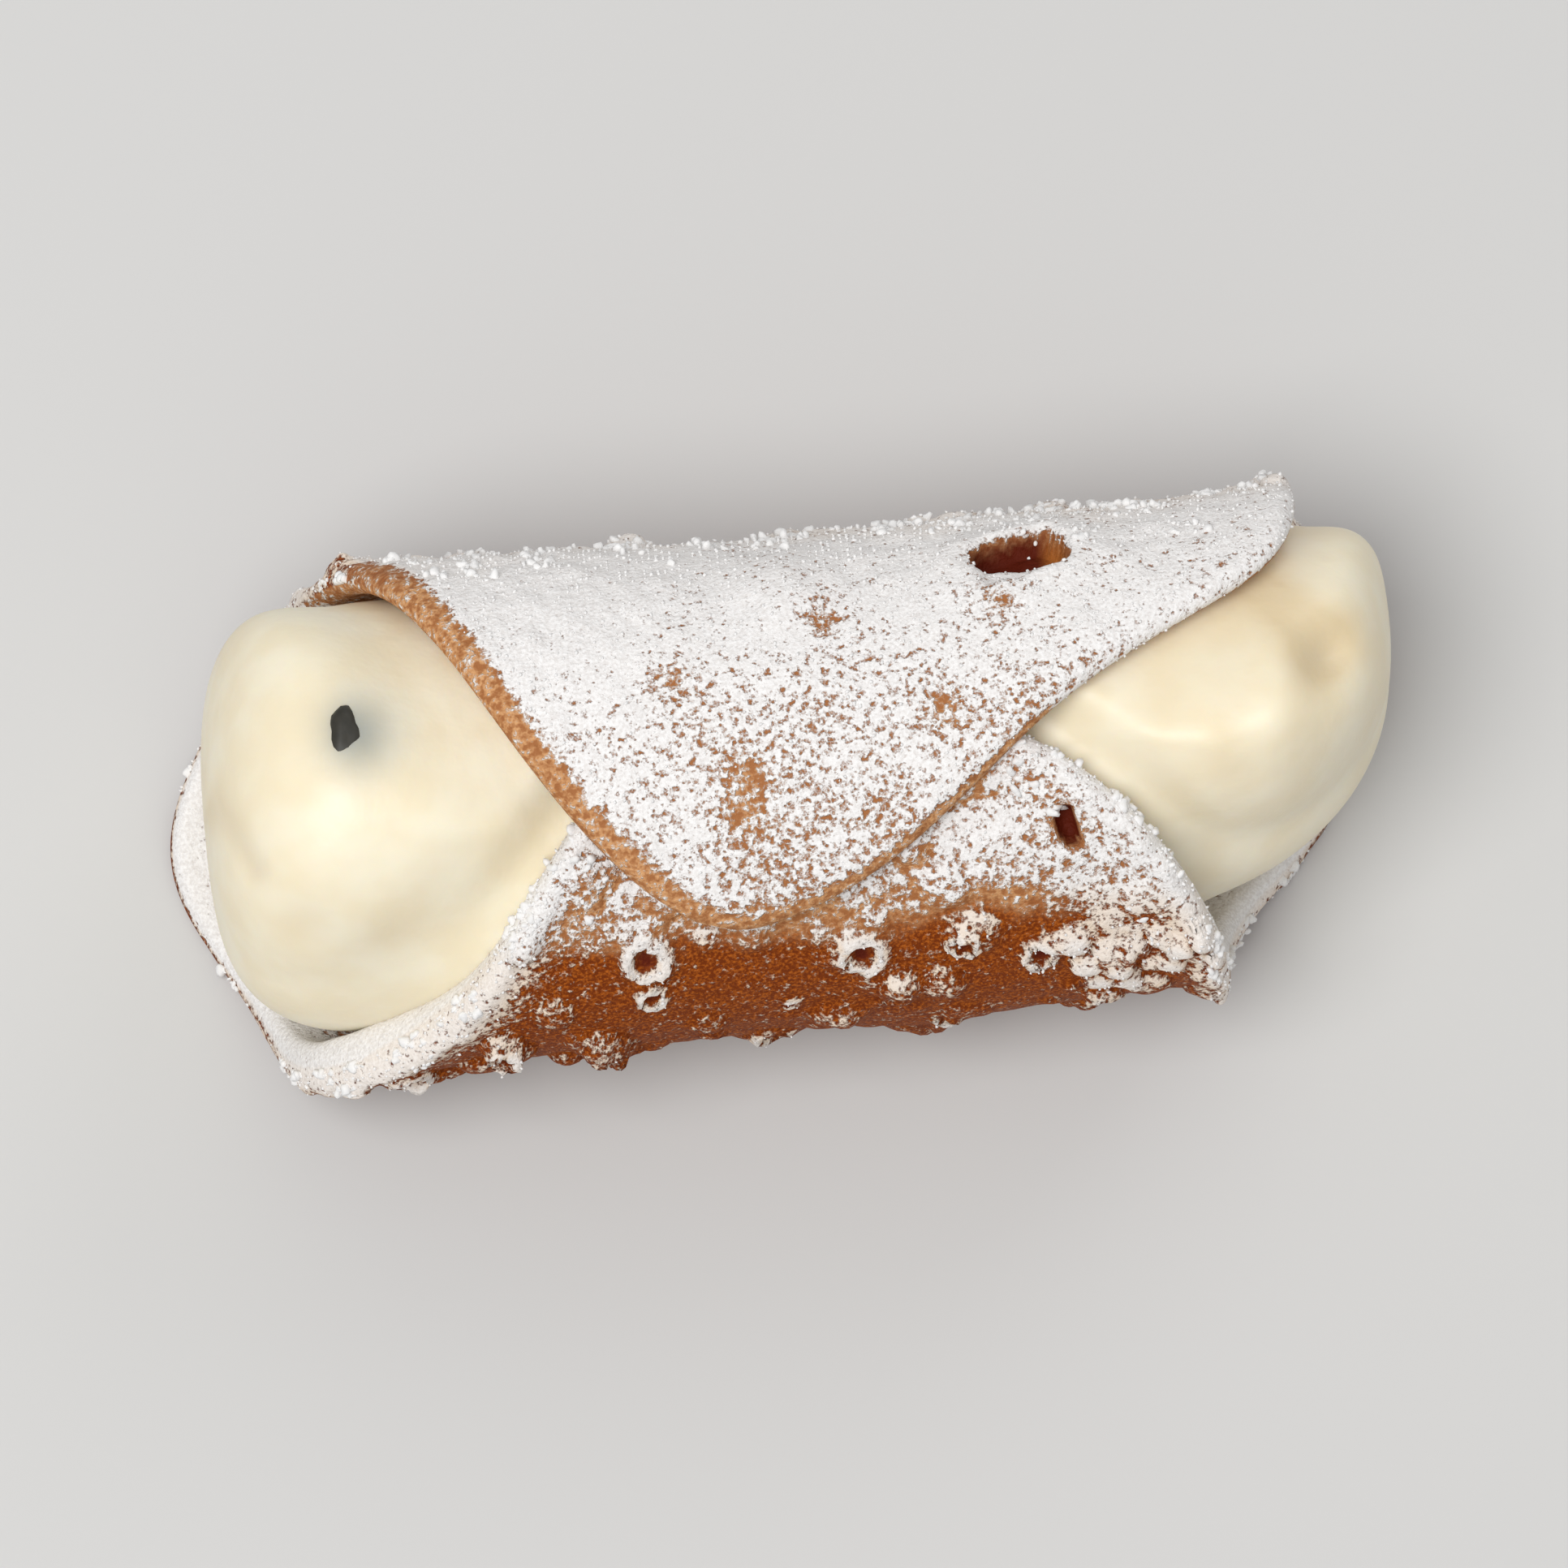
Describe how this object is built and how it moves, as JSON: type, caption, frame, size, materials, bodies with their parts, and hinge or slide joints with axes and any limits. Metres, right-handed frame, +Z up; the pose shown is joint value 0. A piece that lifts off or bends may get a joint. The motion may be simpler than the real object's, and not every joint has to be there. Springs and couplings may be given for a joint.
{
  "type": "filled cannolo pastry",
  "caption": "Fried pastry shell rolled into a tube with an overlapping flap, filled with cream that bulges from both slanting ends.",
  "frame": {"origin": "on the table under the middle of the pastry, at the bottom centre of its bounding box", "axes": "+X along the roll, +Z up, the tip of the flap leans towards -Y"},
  "size_m": [0.0794, 0.0318, 0.0327],
  "materials": {
    "fried_pastry": "crisp blistered fried pastry, golden brown, thickly dusted with powdered sugar on top",
    "cream_filling": "smooth pale yellow piped cream, soft satin gloss",
    "powdered_sugar": "loose white powdered sugar, matte",
    "chocolate": "dark chocolate chip, dull"
  },
  "bodies": {
    "root": {"shell": "fried_pastry", "cream": "cream_filling"}
  },
  "joints": []
}
